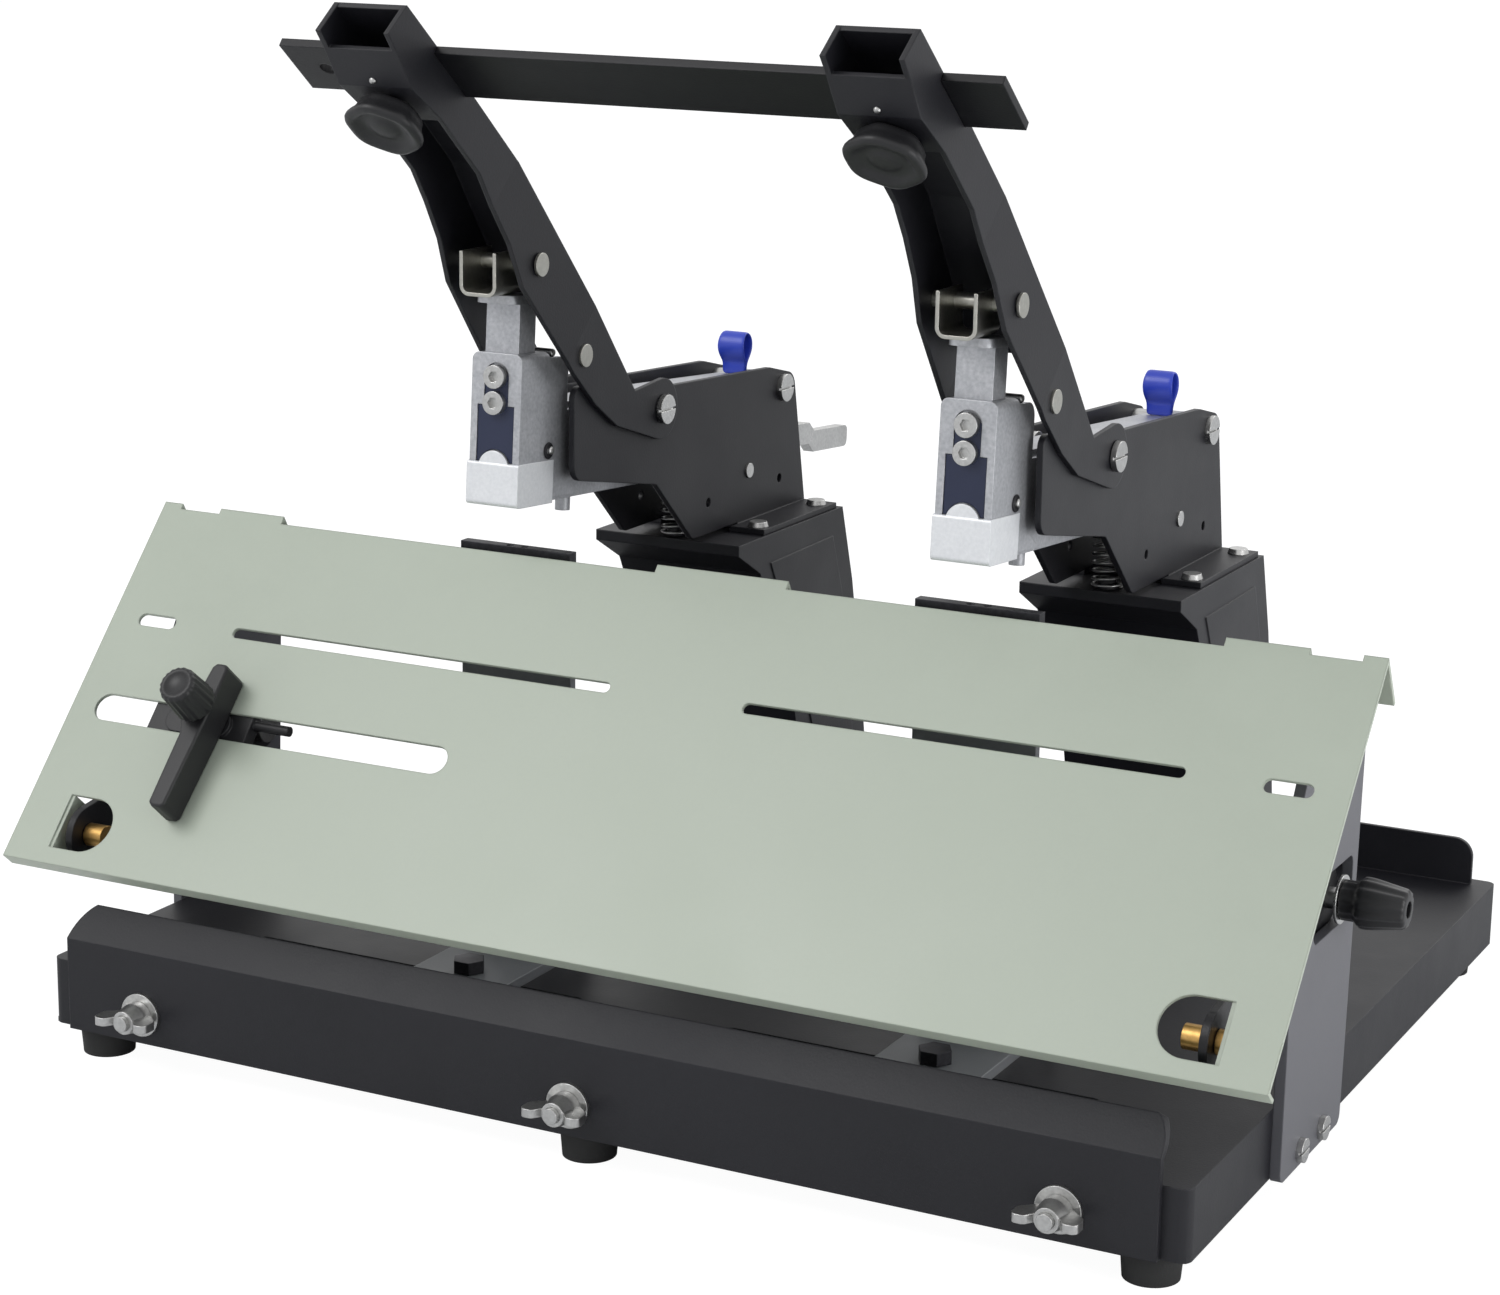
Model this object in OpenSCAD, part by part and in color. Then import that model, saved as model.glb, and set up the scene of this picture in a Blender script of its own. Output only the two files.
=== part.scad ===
// Two-head saddle binding machine: a folded base tray with a front fence, a sloping slotted table
// hinged on two side brackets, and two staple heads whose arms are joined by one flat cross bar.
// Frame: X to the right, Y to the back, Z up, feet on Z = 0, origin midway between front and back.

/* [Base] */
// Width of the base tray, left to right
base_w = 470; // [440:5:520]
// Depth of the base tray, front to back
base_d = 376.5; // [374:0.5:400]
// Height of the folded skirt of the tray
base_h = 26.4; // [24:0.2:32]
// Thickness of the tray and stand sheet
sheet = 2; // [1.5:0.25:2.5]
// Height of the rear lip above the plate
rear_lip_h = 19.6; // [10:0.2:30]
// Height of the rubber feet
foot_h = 12; // [8:0.5:16]
// Largest diameter of the rubber feet
foot_d = 22; // [16:1:24]
// Width of the slots in the plate
slot_w = 8; // [7:0.5:10]
// Thickness of the front fence
fence_t = 3; // [2:0.5:4]
// Height of the upright part of the fence
fence_h = 35.6; // [32:0.2:38]
// Span of a wing nut over its wings
wing_span = 24; // [18:1:28]

/* [Table] */
// Overhang of the table past each side of the base
table_overhang = 23.85; // [20:0.05:30]
// Length of the table from the ridge to its lower edge
table_len = 163.5; // [155:0.5:166]
// Slope of the table, degrees
table_slope = 48.3; // [47:0.1:50]
// Thickness of the table sheet
table_t = 1.5; // [1.2:0.1:1.8]
// Length of the flange behind the ridge
flange_len = 21.3; // [16:0.1:24]
// Height of the ridge above the plate of the base
ridge_h = 159.6; // [156:0.2:164]
// Distance of the ridge behind the front of the base
ridge_y = 110.2; // [108:0.2:114]
// Width of the long slots in the table
table_slot_w = 4.5; // [3:0.5:6]
// Width of the oblong slot the side guide runs in
guide_slot_w = 11.8; // [10:0.2:14]
// Thickness of the side brackets
bracket_t = 4; // [3:0.5:4]
// Diameter of the table knobs
table_knob_d = 21; // [18:1:24]
// Height of the side guide above the table
guide_h = 14; // [10:1:18]

/* [Heads] */
// Middle of the left staple head, from the middle of the machine
left_x = -92.85; // [-100:0.05:-85]
// Middle of the right staple head
right_x = 103.55; // [95:0.05:108]
// Half width over the frame plates of a head
frame_half = 17.5; // [17:0.5:19]
// Thickness of the frame plates
frame_t = 2.5; // [2:0.25:3]
// Half width of the folded stand
stand_half = 34.5; // [33.5:0.5:37]
// Thickness of the arm sheet
arm_t = 2; // [1.5:0.25:2.5]
// Half width of the arm at its upper end
arm_top_half = 15.2; // [13.5:0.1:16]
// Angle the magazine rises about its rear pivot when open, degrees
nose_lift = 4.1; // [3.8:0.1:4.4]
// Half width of the magazine
magazine_half = 9; // [8.5:0.25:10]
// Half width of the driver
driver_half = 7.4; // [6.5:0.1:7.6]
// Number of curls of a return spring
spring_curls = 9; // [7:1:10]
// Wire diameter of a return spring
spring_wire = 1.2; // [1:0.1:1.3]
// Outer diameter of a return spring
spring_od = 13; // [11:0.5:14]
// Height of the cross bar section
bar_h = 26.4; // [25:0.2:28]
// Thickness of the cross bar
bar_t = 3.2; // [2.6:0.1:4]
// Length of the cross bar
bar_len = 285; // [280:1:310]
// Diameter of the knobs that clamp the cross bar
bar_knob_d = 29.4; // [26:0.2:32]

/* [Clearances] */
// Radial clearance of turning pins in their bores
pin_fit = 0.05; // [0.02:0.01:0.1]
// Gap between sliding faces
slide_gap = 0.3; // [0.2:0.05:0.5]
// Gap between the folded stirrup and the driver cap
stirrup_gap = 0.4; // [0.3:0.05:0.8]

/* [Hidden] */
$fn = 48;

// Levels of the base
base_top = foot_h + base_h;
ridge_z = base_top + ridge_h;
skirt_return = 26;
foot_x = base_w / 2 - 17;
foot_y = skirt_return / 2 - 1;
front_slot_y = 57;
rear_slot_ys = [312, 342];
slot_x0 = 30;
slot_x1 = base_w / 2 - 55;

// Fence and its studs
fence_half = base_w / 2 - 10;
fence_lean_l = 15;
fence_lean_a = 42;
stud_d = 6;
stud_z = foot_h + 12;
stud_x = base_w / 2 - 45;
washer_t = 1.6;
nut_len = 10;
stud_end = -fence_t - washer_t - nut_len - 2;

// Front and back of the whole machine, which set the origin
wing_reach = 13;
nut_face = fence_t + washer_t + 0.1;
pusher_rest = [295.7, 246.2];
y_front = -nut_face - wing_reach;

// Table, its hinge and its clamp linkage, seen from the side as [y, z]
slope_dir = [-cos(table_slope), -sin(table_slope)];
slope_n = [-sin(table_slope), cos(table_slope)];
flange_a = 59.5;
flange_dir = [cos(flange_a), -sin(flange_a)];
flange_n = [sin(flange_a), cos(flange_a)];
hinge = [ridge_y - 0.7, ridge_z - 14];
hinge_pin_d = 6;
hinge_lug_r = 6.2;
bracket_x = base_w / 2;
bracket_out = bracket_x + bracket_t;
ear_x = bracket_x + 5;
ear_t = 1.5;
strut_x = bracket_x - 3.5;
strut_t = 3;
strut_r = 11;
pin_s = 145;
pin_depth = 9.3;
ear_pin = [ridge_y, ridge_z] + pin_s * slope_dir - pin_depth * slope_n;
ear_pin_d = 6;
clamp_d = 8;
clamp = [ridge_y + 24.8, base_top + 62.6];
strut_len = norm(clamp - ear_pin);
strut_a = atan2(clamp[1] - ear_pin[1], clamp[0] - ear_pin[0]);
knob_x = bracket_out + 1.2;
notch_x0 = bracket_x - 4;
notch_x1 = bracket_x + 15;
middle_half = 28;
long_notch_x = notch_x0 - 31;
long_notch_cut = 3.5;
side_notch_cut = 2.5;
lip_len = 7;
guide_x = -bracket_x + 46;
guide_s = 94.4;
guide_slot_x0 = -bracket_x - 12.7;
guide_slot_x1 = -83.2;
guide_knob_d = 17;

// Staple head, seen from the side as [y, z] from the ridge
arm_pivot = [84.5, 43.5];
nose_pivot = [196.9, 36.4];
lift_rod = [-8, 111.8];
arm_rivet = [22, 73.5];
arm_half = frame_half + slide_gap + arm_t;
arm_tilt = 42;
arm_taper_0 = 72;
arm_taper_1 = 150;
pivot_d = 8;
rod_d = 6;
stirrup_r = 11.8;
stirrup_y0 = -15.8;
stirrup_y1 = 5;
button_d = 9;
stirrup_half = 8;
clincher_z0 = -6.4;
clincher_h = 5.5;
spring_y = 132.8;
lip_drop = 4.5;
seat_z = -19.5;
magazine_z0 = 3.5;
magazine_z1 = 41.5;
magazine_y0 = 8.8;
magazine_y1 = 204.5;
wall = 1.5;
post_y = 2.8;
post_t = 4;
post_half = 24.75;
shoe_y0 = -13.2;
shoe_y1 = magazine_y0 + 4.4;
shoe_z0 = 3.1;
shoe_z1 = 20;
block_y0 = -12.2;
block_y1 = 22.8;
block_z1 = 62;
block_half = magazine_half + 2;
driver_y0 = -9;
nose_screw_zs = [43, 53];
driver_y1 = 2.8;
driver_stroke = 8.2;
cap_y0 = -17;
blade_z0 = 12;
tab_y = 183;
frame_y0 = 18;
floor_pin = [165.5, 4.7];
floor_y0 = 155.7;
floor_y1 = 219.5;
pusher_z = magazine_z0 + wall + 0.2;
pusher_h = 9.8;
rail_step = 4;
foot_screw_ys = [155.7, 211.4];
foot_screw_x = 27.5;

// Rear end of the left pusher rail in the open pose, the rearmost point of the machine
rail_end = [pusher_rest[0], pusher_z + pusher_h - rail_step] - nose_pivot;
y_rear = ridge_y + nose_pivot[0] + rail_end[0] * cos(nose_lift) + rail_end[1] * sin(nose_lift);
y_mid = (y_front + y_rear) / 2;

// Height of the driver cap in the closed pose, just under the stirrup
contact = [cap_y0 + 4, lift_rod[1] - stirrup_r - stirrup_gap] - nose_pivot;
cap_z = nose_pivot[1] + contact[0] * sin(nose_lift) + contact[1] * cos(nose_lift);

// Corners of the arm outline: web side A to D, open side F1 to F10
arm_A = [-92.7, 210.9];
arm_B = [-48.4, 175.7];
arm_C = [-19, 151];
arm_D = [62, 54];
arm_web_end = [32.4, 89.4];
arm_front = [
    [-104.7, 201.7], [-99.7, 195.4], [-90.5, 182], [-70.7, 169.6], [-45.5, 148.5],
    [-26.5, 121], [-19, 104], [14, 67.5], [30.5, 53], [47.5, 42]
];
arm_boss_r = 12.5;

// Cross bar, let into the rear edge of the arms between A and B
bar_dir = (arm_B - arm_A) / norm(arm_B - arm_A);
bar_n = [bar_dir[1], -bar_dir[0]];
bar_a = atan2(bar_dir[1], bar_dir[0]);
bar_drop = 24;
bar_mid = arm_A + bar_dir * (bar_drop + bar_h / 2) + bar_n * bar_t / 2;
bar_x0 = left_x - 51.2;
knob_off = 4;
knob_foot = bar_mid - bar_dir * knob_off;
knob_near = 20;
knob_len = 10;

// Places everything so that the origin is midway between front and back
module placed() {
    translate([0, -y_mid, 0]) children();
}

// A staple head frame: origin on the ridge line at the middle of the head
module head(x) {
    translate([x, ridge_y, ridge_z]) children();
}

// The open pose of the magazine: the closed one turned up about its rear pivot
module lifted() {
    translate([0, nose_pivot[0], nose_pivot[1]])
        rotate([-nose_lift, 0, 0])
            translate([0, -nose_pivot[0], -nose_pivot[1]])
                children();
}

// Table frame: X across, Y up the slope with the ridge at 0, Z out of the table face
module on_table() {
    translate([0, ridge_y, ridge_z]) rotate([table_slope, 0, 0]) children();
}

// Extrudes a side view drawn as [y, z] along X from x0 to x1
module side(x0, x1) {
    translate([x0, 0, 0])
        rotate([90, 0, 90])
            linear_extrude(height = x1 - x0) children();
}

// Extrudes a front view drawn as [x, z] along Y from y0 to y1
module front(y0, y1) {
    translate([0, y1, 0])
        rotate([90, 0, 0])
            linear_extrude(height = y1 - y0) children();
}

// Both sides of a shape that is drawn at positive X
module both() {
    children();
    mirror([1, 0, 0]) children();
}

// A cylinder along X, centred on a side view point
module rod_x(p, d, x0, x1) {
    translate([x0, p[0], p[1]]) rotate([0, 90, 0]) cylinder(d = d, h = x1 - x0);
}

// Rectangle with round corners, centred
module round_rect(w, h, r) {
    square([w - 2 * r, h], center = true);
    square([w, h - 2 * r], center = true);
    for (x = [-1, 1], y = [-1, 1])
        translate([x * (w / 2 - r), y * (h / 2 - r)]) circle(r = r);
}

// Obround slot, centred, w long and h wide
module obround(w, h) {
    square([w - h, h], center = true);
    for (x = [-1, 1]) translate([x * (w - h) / 2, 0]) circle(d = h);
}

// Polygon whose corners are rounded by the given radii, points anticlockwise
function unit(v) = v / norm(v);
function turn(a, b, c) = (b[0] - a[0]) * (c[1] - b[1]) - (b[1] - a[1]) * (c[0] - b[0]);
function cut_back(a, b, c, r) =
    let(u = unit(a - b), v = unit(c - b), half = acos(max(-1, min(1, u * v))) / 2)
        r / tan(half);
function corner_centre(a, b, c, r) =
    let(u = unit(a - b), v = unit(c - b), half = acos(max(-1, min(1, u * v))) / 2)
        b + unit(u + v) * r / sin(half);
module soft_polygon(p, r) {
    n = len(p);
    difference() {
        union() {
            polygon([
                for (i = [0 : n - 1])
                    let(a = p[(i + n - 1) % n], b = p[i], c = p[(i + 1) % n])
                        for (q = r[i] == 0 ? [b] : [
                            b + unit(a - b) * cut_back(a, b, c, r[i]),
                            b + unit(c - b) * cut_back(a, b, c, r[i])
                        ]) q
            ]);
            for (i = [0 : n - 1])
                if (r[i] > 0 && turn(p[(i + n - 1) % n], p[i], p[(i + 1) % n]) > 0)
                    translate(corner_centre(p[(i + n - 1) % n], p[i], p[(i + 1) % n], r[i]))
                        circle(r = r[i]);
        }
        for (i = [0 : n - 1])
            if (r[i] > 0 && turn(p[(i + n - 1) % n], p[i], p[(i + 1) % n]) < 0)
                translate(corner_centre(p[(i + n - 1) % n], p[i], p[(i + 1) % n], r[i]))
                    circle(r = r[i]);
    }
}

// A bent sheet: the line of points p, thickened by t to the left of its direction
function left_of(d) = [-d[1], d[0]];
function shifted(p, i, t) =
    let(
        n = len(p),
        before = i == 0 ? unit(p[1] - p[0]) : unit(p[i] - p[i - 1]),
        after = i == n - 1 ? before : unit(p[i + 1] - p[i]),
        m = unit(left_of(before) + left_of(after))
    )
        p[i] + m * t / (m * left_of(before));
module bent_sheet(p, t) {
    n = len(p);
    polygon(concat(p, [for (i = [n - 1 : -1 : 0]) shifted(p, i, t)]));
}

// A round screw head on a washer, along X, with a cross slot
module screw_x(p, x, d, dir) {
    difference() {
        rod_x(p, d, dir > 0 ? x : x - 2.4, dir > 0 ? x + 2.4 : x);
        translate([x + dir * 2, p[0], p[1]]) cube([1.6, d, 1], center = true);
    }
}

// Base tray

module base_tray() {
    color("dimgray") {
        difference() {
            translate([0, base_d / 2, foot_h])
                linear_extrude(height = base_h) round_rect(base_w, base_d, 4);
            translate([0, base_d / 2, foot_h - 1])
                linear_extrude(height = base_h - sheet + 1)
                    round_rect(base_w - 2 * sheet, base_d - 2 * sheet, 2);
            for (s = [-1, 1], y = concat([front_slot_y], rear_slot_ys))
                translate([s * (slot_x0 + slot_x1) / 2, y, base_top - 2 * sheet])
                    linear_extrude(height = 3 * sheet) obround(slot_x1 - slot_x0, slot_w);
            for (x = [-stud_x, 0, stud_x])
                translate([x, sheet + 1, stud_z])
                    rotate([90, 0, 0]) cylinder(d = stud_d, h = sheet + 2);
            for (s = [-1, 1], y = bracket_screw_ys())
                rod_x([y, bracket_screw_z()], 5, s * base_w / 2 - 4, s * base_w / 2 + 4);
        }
        for (y = [sheet / 2, base_d - skirt_return])
            difference() {
                translate([-base_w / 2 + 1, y, foot_h])
                    cube([base_w - 2, skirt_return - sheet / 2, sheet]);
                for (x = [-foot_x, 0, foot_x])
                    translate([x, y < skirt_return ? foot_y : base_d - foot_y, foot_h - 1])
                        cylinder(d = 8, h = sheet + 2);
            }
        front(base_d - 8, base_d - 8 + sheet)
            soft_polygon([
                [-base_w / 2 + 9, base_top - 1], [base_w / 2 - 9, base_top - 1],
                [base_w / 2 - 9, base_top + rear_lip_h], [-base_w / 2 + 9, base_top + rear_lip_h]
            ], [0, 0, 8, 8]);
    }
}

function bracket_screw_ys() = [ridge_y - 7, ridge_y + 17];
function bracket_screw_z() = foot_h + 4.5;

module front_fence() {
    color("dimgray")
        difference() {
            intersection() {
                side(-fence_half, fence_half)
                    bent_sheet([
                        [0, foot_h], [0, foot_h + fence_h],
                        [0, foot_h + fence_h] + fence_lean_l * [sin(90 - fence_lean_a), cos(90 - fence_lean_a)]
                    ], fence_t);
                front(-fence_t - 1, 20)
                    soft_polygon([
                        [-fence_half, foot_h - 1], [fence_half, foot_h - 1],
                        [fence_half, foot_h + fence_h + 14], [-fence_half, foot_h + fence_h + 14]
                    ], [0, 0, 12, 12]);
            }
            for (x = [-stud_x, 0, stud_x])
                translate([x, 1, stud_z]) rotate([90, 0, 0]) cylinder(d = stud_d, h = fence_t + 2);
        }
}

module fence_studs() {
    color("silver")
        for (x = [-stud_x, 0, stud_x])
            translate([x, 0, stud_z]) rotate([90, 0, 0]) {
                translate([0, 0, -sheet - 3]) cylinder(d = 11, h = 3);
                translate([0, 0, -sheet]) cylinder(d = stud_d, h = sheet - stud_end);
                translate([0, 0, fence_t]) cylinder(d = 17, h = washer_t);
            }
}

module wing_nut(x) {
    color("gainsboro")
        translate([x, -nut_face, stud_z]) rotate([90, 0, 0])
            difference() {
                union() {
                    cylinder(d = 11.5, h = 4);
                    translate([0, 0, 4]) cylinder(d1 = 11.5, d2 = 9, h = nut_len - 4);
                    for (s = [-1, 1])
                        translate([0, 1.6, 0]) rotate([90, 0, 0])
                            linear_extrude(height = 3.2)
                                soft_polygon(s > 0 ? [
                                    [3.6, 1], [6, 1], [wing_span / 2, 6], [wing_span / 2, wing_reach],
                                    [wing_span / 2 - 5, wing_reach], [3.6, 8]
                                ] : [
                                    [-3.6, 1], [-3.6, 8], [-wing_span / 2 + 5, wing_reach],
                                    [-wing_span / 2, wing_reach], [-wing_span / 2, 6], [-6, 1]
                                ], s > 0 ? [0, 0, 3, 2.4, 2.4, 0] : [0, 0, 2.4, 2.4, 3, 0]);
                }
                translate([0, 0, -1]) cylinder(r = stud_d / 2 + pin_fit, h = nut_len + 20);
            }
}

module foot() {
    cylinder(d1 = foot_d - 2, d2 = foot_d, h = foot_h);
    translate([0, 0, foot_h - 1]) cylinder(d = 8, h = sheet + 2);
    translate([0, 0, foot_h + sheet]) cylinder(d1 = 11, d2 = 7, h = 3);
}

module front_feet() {
    color([0.1, 0.1, 0.1])
        for (x = [-foot_x, 0, foot_x]) translate([x, foot_y, 0]) foot();
}

module rear_feet() {
    color([0.1, 0.1, 0.1])
        for (x = [-foot_x, 0, foot_x]) translate([x, base_d - foot_y, 0]) foot();
}

// Side brackets, which carry the table hinge and the clamp window

module bracket() {
    difference() {
        side(bracket_x, bracket_out) {
            soft_polygon([
                [ridge_y - 28.2, foot_h - 1.6], [ridge_y + 39.8, foot_h - 1.6],
                [ridge_y + 46, base_top + 122], hinge + [4.2, 4.6],
                hinge + [-5.4, -3], [ridge_y - 26.8, base_top + 108]
            ], [4, 4, 8, 0, 0, 8]);
            translate(hinge) circle(r = hinge_lug_r);
        }
        rod_x(hinge, hinge_pin_d, bracket_x - 1, bracket_out + 1);
        side(bracket_x - 1, bracket_out + 1)
            translate([ridge_y + 17, base_top + 64.6]) round_rect(43, 23, 4);
        for (y = bracket_screw_ys())
            rod_x([y, bracket_screw_z()], 5, bracket_x - 1, bracket_out + 1);
    }
}

module left_bracket() {
    color([0.16, 0.16, 0.17]) mirror([1, 0, 0]) bracket();
}

module right_bracket() {
    color([0.16, 0.16, 0.17]) bracket();
}

module bracket_screws() {
    color("silver")
        both() for (y = bracket_screw_ys()) {
            screw_x([y, bracket_screw_z()], bracket_out, 9, 1);
            rod_x([y, bracket_screw_z()], 5, bracket_x - sheet - 3, bracket_out + 1);
            rod_x([y, bracket_screw_z()], 8.5, bracket_x - sheet - 3, bracket_x - sheet);
        }
}

module table_hinge_pins() {
    color("silver")
        both() {
            rod_x(hinge, hinge_pin_d, notch_x0 - 6, bracket_out + 1);
            rod_x(hinge, 10, bracket_out, bracket_out + 2);
            rod_x(hinge, 9, notch_x0 - 6, notch_x0 - 4.5);
        }
}

// Table

module ridge_cut(x0, x1, cut) {
    side(x0, x1)
        polygon([[-cut, 3], [-cut, -table_t - 0.3], [-14, -26], [12, -26], [12, 3]]);
}

module d_hole() {
    intersection() {
        translate([ear_x - 24.3 + 11.5, 0]) {
            circle(r = 11.5);
            translate([0, -11.5]) square([30, 23]);
        }
        translate([ear_x - 40, -20]) square([40, 40]);
    }
}

module table_plate() {
    half = bracket_x + table_overhang;
    color([0.69, 0.72, 0.65]) {
        on_table() difference() {
            union() {
                difference() {
                    side(-half, half)
                        bent_sheet([
                            flange_len * [cos(flange_a + table_slope), -sin(flange_a + table_slope)],
                            [0, 0], [-table_len, 0], [-table_len, -lip_len]
                        ], table_t);
                    translate([0, 0, -table_t - 1]) linear_extrude(height = table_t + 2) {
                        for (s = [-1, 1]) {
                            translate([s * (long_notch_x + middle_half) / 2, -54.2])
                                obround(long_notch_x - middle_half, table_slot_w);
                            translate([s * (bracket_x + 2), -54.2]) obround(18, 5.5);
                        }
                        translate([(guide_slot_x0 + guide_slot_x1) / 2, -guide_s])
                            obround(guide_slot_x1 - guide_slot_x0, guide_slot_w);
                        both() translate([0, -pin_s]) d_hole();
                    }
                    // Cut back the ridge for the anvils and for the side brackets
                    both() {
                        ridge_cut(middle_half, long_notch_x, long_notch_cut);
                        ridge_cut(notch_x0, notch_x1, side_notch_cut);
                    }
                }
                // Ears folded down from the straight side of each opening
                both() side(ear_x - ear_t, ear_x + 0.3) {
                    translate([-pin_s - 11.5, -14]) square([23, 14 - table_t / 2]);
                    translate([-pin_s, -14]) circle(r = 11.5);
                }
            }
            both() rod_x([-pin_s, -pin_depth], ear_pin_d, ear_x - 5, ear_x + 5);
        }
        // Hinge ears under the ridge
        both() difference() {
            side(notch_x0 - 3, notch_x0 - 1) {
                translate(hinge) circle(r = 6);
                polygon([
                    hinge + 6 * slope_dir, hinge + 6 * flange_dir,
                    hinge + 6 * flange_dir + 6.6 * flange_n,
                    [ridge_y, ridge_z] - [0, 1.6],
                    hinge + 6 * slope_dir + 7.8 * slope_n
                ]);
            }
            rod_x(hinge, hinge_pin_d + 2 * pin_fit, notch_x0 - 4, notch_x0);
        }
    }
}

module table_ear_pins() {
    color("goldenrod")
        both() {
            rod_x(ear_pin, ear_pin_d, strut_x - 8.5, ear_x + 1.8);
            rod_x(ear_pin, 9, strut_x - 8.5, strut_x - 0.3);
            rod_x(ear_pin, 9, strut_x + strut_t + 0.3, ear_x - ear_t);
            rod_x(ear_pin, 8.5, ear_x + 0.3, ear_x + 1.8);
        }
}

module strut() {
    difference() {
        side(strut_x, strut_x + strut_t)
            translate(ear_pin) rotate(strut_a) translate([strut_len / 2, 0])
                obround(strut_len + 2 * strut_r, 2 * strut_r);
        rod_x(ear_pin, ear_pin_d + 2 * pin_fit, strut_x - 1, strut_x + strut_t + 1);
        rod_x(clamp, clamp_d, strut_x - 1, strut_x + strut_t + 1);
    }
}

module left_strut() {
    color([0.1, 0.1, 0.1]) mirror([1, 0, 0]) strut();
}

module right_strut() {
    color([0.1, 0.1, 0.1]) strut();
}

module clamp_bolts() {
    color("silver")
        both() {
            rod_x(clamp, clamp_d, strut_x - 4, knob_x + 14);
            rod_x(clamp, 14, strut_x - 4, strut_x);
            rod_x(clamp, 18, bracket_out + 0.2, knob_x);
        }
}

// Fluted knob on the clamp bolt, with a hole in its end face
module table_knob() {
    r = table_knob_d / 2;
    difference() {
        translate([knob_x + 0.2, clamp[0], clamp[1]]) rotate([0, 90, 0]) {
            cylinder(r = r * 0.72, h = 6);
            translate([0, 0, 5]) cylinder(r1 = r * 0.8, r2 = r - 1, h = 3.5);
            difference() {
                translate([0, 0, 8]) cylinder(r = r, h = 16);
                for (i = [0 : 11]) rotate(i * 30 + 15)
                    translate([r + 0.6, 0, 7]) cylinder(d = 3, h = 18);
            }
        }
        rod_x(clamp, clamp_d + 2 * pin_fit, knob_x - 1, knob_x + 15);
        rod_x(clamp, 6.4, knob_x + 14, knob_x + 26);
    }
}

module left_table_knob() {
    color([0.08, 0.08, 0.08]) mirror([1, 0, 0]) table_knob();
}

module right_table_knob() {
    color([0.08, 0.08, 0.08]) table_knob();
}

// Side guide, clamped in the oblong slot of the table

module guide_bar() {
    color([0.08, 0.08, 0.08])
        on_table()
            difference() {
                translate([guide_x - 0.5, -105.6, 0.2])
                    linear_extrude(height = guide_h - 0.2) round_rect(11.4, 63.2, 3);
                translate([guide_x, -guide_s, -1]) cylinder(d = 5, h = 30);
            }
}

module guide_block() {
    color([0.08, 0.08, 0.08])
        on_table()
            difference() {
                union() {
                    translate([guide_x - 9, -guide_s, -table_t - 6])
                        linear_extrude(height = 6) round_rect(46, guide_slot_w + 6, 2);
                    translate([guide_x - 9, -guide_s, -table_t - 1])
                        linear_extrude(height = table_t + 1.2) obround(30, guide_slot_w - 2 * slide_gap);
                    translate([guide_x + 13, -guide_s + 4, -5]) rotate([0, 90, 0])
                        cylinder(d = 4, h = 17);
                }
                translate([guide_x, -guide_s, -20]) cylinder(d = 5, h = 40);
            }
}

module guide_knob() {
    color([0.08, 0.08, 0.08])
        on_table()
            translate([guide_x, -guide_s, guide_h + 0.2]) {
                translate([0, 0, -guide_h - table_t - 5]) cylinder(d = 5 - 2 * pin_fit, h = guide_h + table_t + 6);
                cylinder(d = 11, h = 4);
                translate([0, 0, 3]) cylinder(d1 = 11, d2 = guide_knob_d - 1, h = 4);
                difference() {
                    translate([0, 0, 6.5]) cylinder(d = guide_knob_d, h = 13);
                    for (i = [0 : 9]) rotate(i * 36)
                        translate([guide_knob_d / 2 + 0.5, 0, 5]) cylinder(d = 2.8, h = 16);
                    translate([0, 0, 18.5]) cylinder(d = 10, h = 2);
                }
            }
}

// Staple head: what stands on the base and slides along the slots

module carriage() {
    strap_z = base_top - sheet - 4 - ridge_z;
    color("silver") {
        translate([-4, front_slot_y - 12 - ridge_y, strap_z])
            cube([34, rear_slot_ys[1] + 24 - front_slot_y, 4]);
        for (b = [[13, front_slot_y, 4], [13, rear_slot_ys[0], sheet], [13, rear_slot_ys[1], sheet]])
            translate([b[0], b[1] - ridge_y, strap_z]) {
                cylinder(d = slot_w - 2 * slide_gap, h = 5 + sheet + b[2]);
                translate([0, 0, 4 + sheet + b[2]]) cylinder(d = 13, h = 5, $fn = 6);
                translate([0, 0, -5]) cylinder(d = 13, h = 6, $fn = 6);
            }
    }
}

module anvil_post() {
    floor_z = base_top - ridge_z;
    color([0.42, 0.43, 0.44])
        difference() {
            union() {
                translate([-8, front_slot_y - 9 - ridge_y, floor_z])
                    cube([42, ridge_y + post_y + post_t - front_slot_y + 9, 4]);
                front(post_y, post_y + post_t)
                    soft_polygon([
                        [-8, floor_z], [post_half, floor_z], [post_half, clincher_z0],
                        [-post_half, clincher_z0], [-post_half, -60], [-8, -80]
                    ], [0, 0, 2, 2, 6, 6]);
                for (x = [-8, 30])
                    side(x, x + 4) polygon([
                        [post_y + 1, floor_z + 2], [post_y + 1, floor_z + 40],
                        [post_y, floor_z + 40], [post_y - 26, floor_z + 4], [post_y - 26, floor_z + 2]
                    ]);
            }
            translate([13, front_slot_y - ridge_y, floor_z - 1])
                cylinder(d = slot_w - 2 * slide_gap, h = 6);
        }
}

module clincher() {
    color("silver")
        difference() {
            translate([-post_half, post_y - 0.5, clincher_z0]) cube([2 * post_half, post_t + 1, clincher_h]);
            for (s = [-1, 1])
                translate([s * 3.4, post_y + 1.6, clincher_z0 + clincher_h + 0.3]) sphere(r = 1.6);
        }
}

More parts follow.
